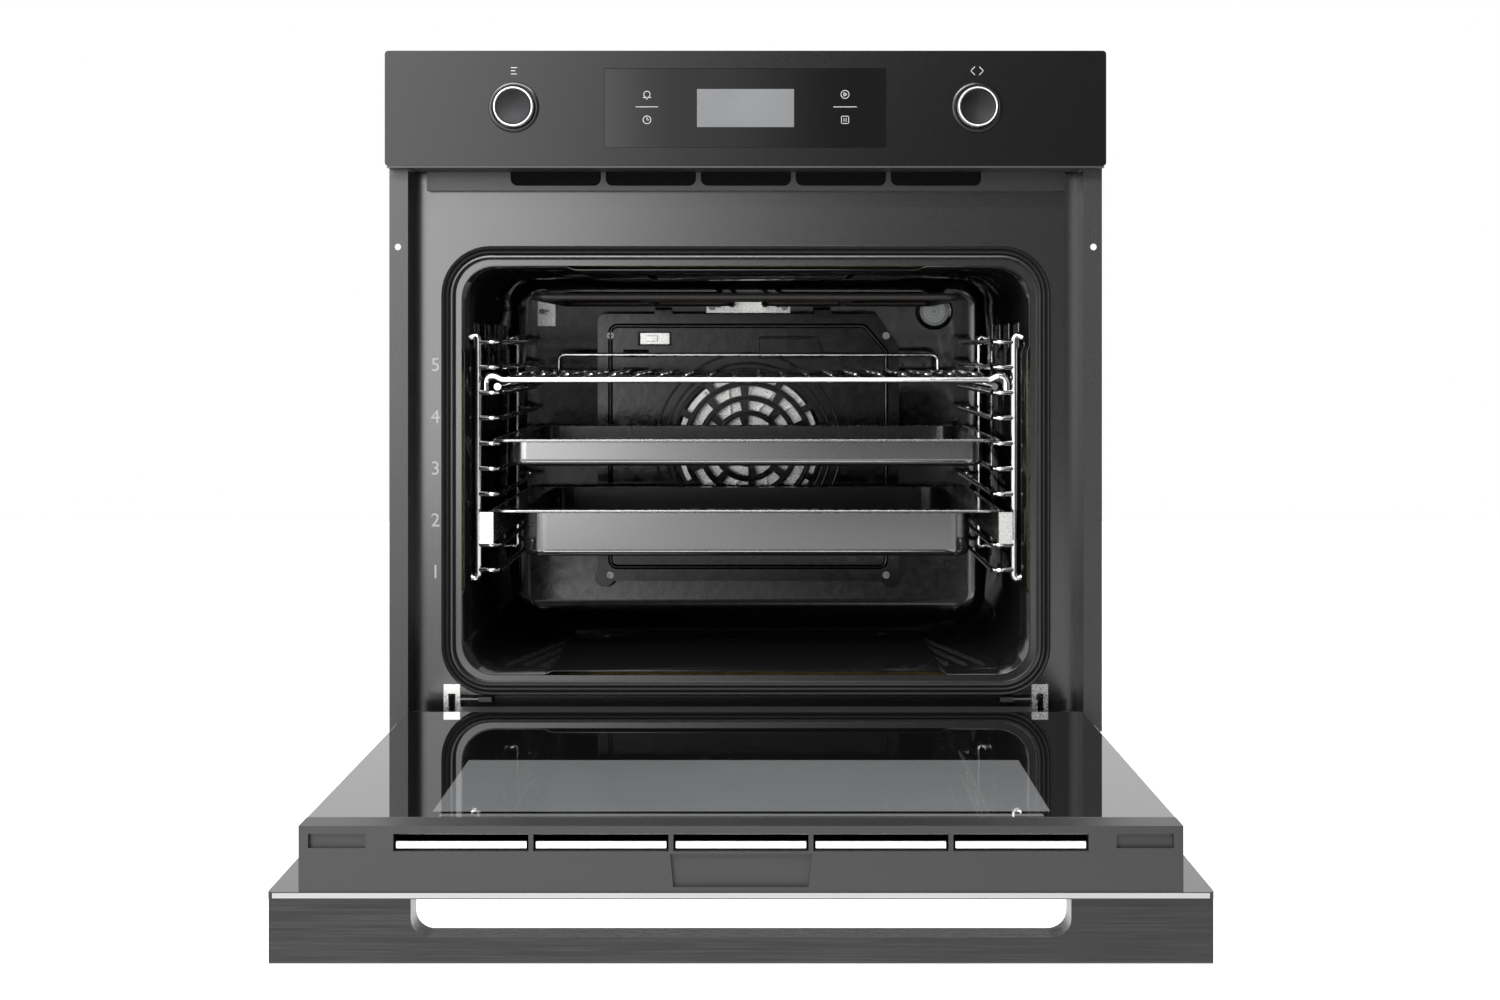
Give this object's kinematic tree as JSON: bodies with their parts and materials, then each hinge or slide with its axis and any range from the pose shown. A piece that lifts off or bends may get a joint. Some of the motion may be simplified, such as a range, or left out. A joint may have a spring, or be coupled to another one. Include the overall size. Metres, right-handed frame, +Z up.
{
  "type": "wall oven",
  "caption": "Built-in electric wall oven with a drop-down glass door, two turn-and-push knobs, a touch display, wire ladders, telescopic runners, rack and pans.",
  "frame": {"origin": "on the underside of the base plate, on the middle line, in the plane of the cabinet's front edge", "axes": "+X to the right as seen by the cook, +Y to the back, +Z up"},
  "size_m": [0.595, 1.035, 0.633],
  "materials": {
    "galvanised_sheet": "spangled zinc",
    "black_enamel": "gloss vitreous enamel",
    "black_painted_steel": "satin",
    "anthracite_fascia": "satin",
    "seal_rubber": "matt silicone",
    "mineral_wool": "fibrous",
    "heater_sheath": "oxidised",
    "stainless": "brushed",
    "chrome_wire": "polished",
    "aluminium_part": "cast",
    "ceramic": "matt",
    "clear_glass": "textured",
    "dark_glass": "polished, printed border",
    "black_plastic": "moulded",
    "board": "epoxy glass laminate",
    "knob_metal": "diamond turned",
    "knob_black": "spun, anodised",
    "handle_metal": "brushed, anodised",
    "zinc_screw": "zinc plated"
  },
  "bodies": {
    "oven": {"base_plate": "galvanised_sheet", "side_panels": "galvanised_sheet", "top_cover": "galvanised_sheet", "rear_cover": "galvanised_sheet", "air_duct": "galvanised_sheet", "cable_gland": "black_plastic", "terminal_block": "black_plastic", "display_module": "black_plastic", "knob_bezels": "black_plastic", "front_frame": "black_enamel", "cavity_liner": "black_enamel", "fan_cover": "black_enamel", "side_trims": "black_painted_steel", "cavity_seal": "seal_rubber", "insulation_blanket": "mineral_wool", "grill_element": "heater_sheath", "lower_element": "heater_sheath", "ring_element": "heater_sheath", "grill_terminal_plate": "stainless", "temperature_probe": "stainless", "hinge_receptacles": "stainless", "hinge_arms": "stainless", "runner_rails": "stainless", "cavity_screws": "zinc_screw", "fan_motor": "aluminium_part", "cooling_fan_motor": "aluminium_part", "lamp_holder": "ceramic", "lamp_bulb": "clear_glass", "lamp_glass": "clear_glass", "display_glass": "dark_glass", "side_ladders": "chrome_wire", "control_panel": "anthracite_fascia", "control_board": "board"},
    "door": {"door_outer_glass": "dark_glass", "door_middle_glass": "clear_glass", "door_inner_glass": "dark_glass", "door_side_rails": "black_painted_steel", "door_top_strip": "black_painted_steel", "door_corner_caps": "black_painted_steel", "door_bottom_strip": "black_painted_steel", "door_handle": "handle_metal", "handle_screws": "zinc_screw", "hinge_channels": "stainless", "hinge_pins": "stainless"},
    "left_hinge_lock": {"left_hinge_lever": "black_painted_steel"},
    "right_hinge_lock": {"right_hinge_lever": "black_painted_steel"},
    "rack": {"wire_rack": "chrome_wire"},
    "tray": {"baking_tray": "black_enamel"},
    "middle_runners": {"runner_middles": "stainless"},
    "left_slider": {"left_runner_slider": "stainless"},
    "right_slider": {"right_runner_slider": "stainless"},
    "pan": {"deep_pan": "black_enamel"},
    "hot_air_fan": {"convection_fan": "stainless"},
    "cooling_fan": {"cooling_fan_wheel": "aluminium_part"},
    "function_shaft": {"function_knob_shaft": "stainless"},
    "function_knob": {"function_knob_ring": "knob_metal", "function_knob_cap": "knob_black"},
    "value_shaft": {"value_knob_shaft": "stainless"},
    "value_knob": {"value_knob_ring": "knob_metal", "value_knob_cap": "knob_black"}
  },
  "joints": [
    {"name": "door_hinge", "type": "hinge", "parent": "oven", "child": "door", "pos_m": [0, -0.002, 0.024], "axis": [-1, 0, 0], "range_deg": [0, 90]},
    {"name": "left_hinge_lock_turn", "type": "hinge", "parent": "oven", "child": "left_hinge_lock", "pos_m": [-0.241, 0.027, 0.0525], "axis": [1, 0, 0], "range_deg": [-60, 0]},
    {"name": "right_hinge_lock_turn", "type": "hinge", "parent": "oven", "child": "right_hinge_lock", "pos_m": [0.241, 0.027, 0.0525], "axis": [1, 0, 0], "range_deg": [-60, 0]},
    {"name": "rack_slide", "type": "slide", "parent": "oven", "child": "rack", "axis": [0, 1, 0], "range_m": [-0.3, 0]},
    {"name": "tray_slide", "type": "slide", "parent": "oven", "child": "tray", "axis": [0, 1, 0], "range_m": [-0.3, 0]},
    {"name": "left_runner_slide", "type": "slide", "parent": "oven", "child": "left_slider", "axis": [0, 1, 0], "range_m": [-0.3, 0]},
    {"name": "right_runner_slide", "type": "slide", "parent": "oven", "child": "right_slider", "axis": [0, 1, 0], "range_m": [-0.3, 0]},
    {"name": "middle_runner_slide", "type": "slide", "parent": "oven", "child": "middle_runners", "axis": [0, 1, 0], "range_m": [-0.15, 0]},
    {"name": "pan_lift", "type": "slide", "parent": "left_slider", "child": "pan", "axis": [0, 0, 1], "range_m": [0, 0.009]},
    {"name": "hot_air_fan_spin", "type": "hinge", "parent": "oven", "child": "hot_air_fan", "pos_m": [0, 0.43, 0.25], "axis": [0, 1, 0], "continuous": true},
    {"name": "cooling_fan_spin", "type": "hinge", "parent": "oven", "child": "cooling_fan", "pos_m": [0, 0.25, 0.52], "axis": [0, 0, 1], "continuous": true},
    {"name": "function_knob_turn", "type": "hinge", "parent": "oven", "child": "function_shaft", "pos_m": [-0.191, -0.022, 0.5483], "axis": [0, -1, 0], "continuous": true},
    {"name": "function_knob_push", "type": "slide", "parent": "function_shaft", "child": "function_knob", "axis": [0, 1, 0], "range_m": [0, 0.003], "stiffness_N_per_m": 400, "springref_m": -0.001},
    {"name": "value_knob_turn", "type": "hinge", "parent": "oven", "child": "value_shaft", "pos_m": [0.191, -0.022, 0.5483], "axis": [0, -1, 0], "continuous": true},
    {"name": "value_knob_push", "type": "slide", "parent": "value_shaft", "child": "value_knob", "axis": [0, 1, 0], "range_m": [0, 0.003], "stiffness_N_per_m": 400, "springref_m": -0.001}
  ],
  "couplings": [
    {"joint": "right_runner_slide", "follows": "left_runner_slide", "ratio": 1},
    {"joint": "middle_runner_slide", "follows": "left_runner_slide", "ratio": 0.5}
  ]
}
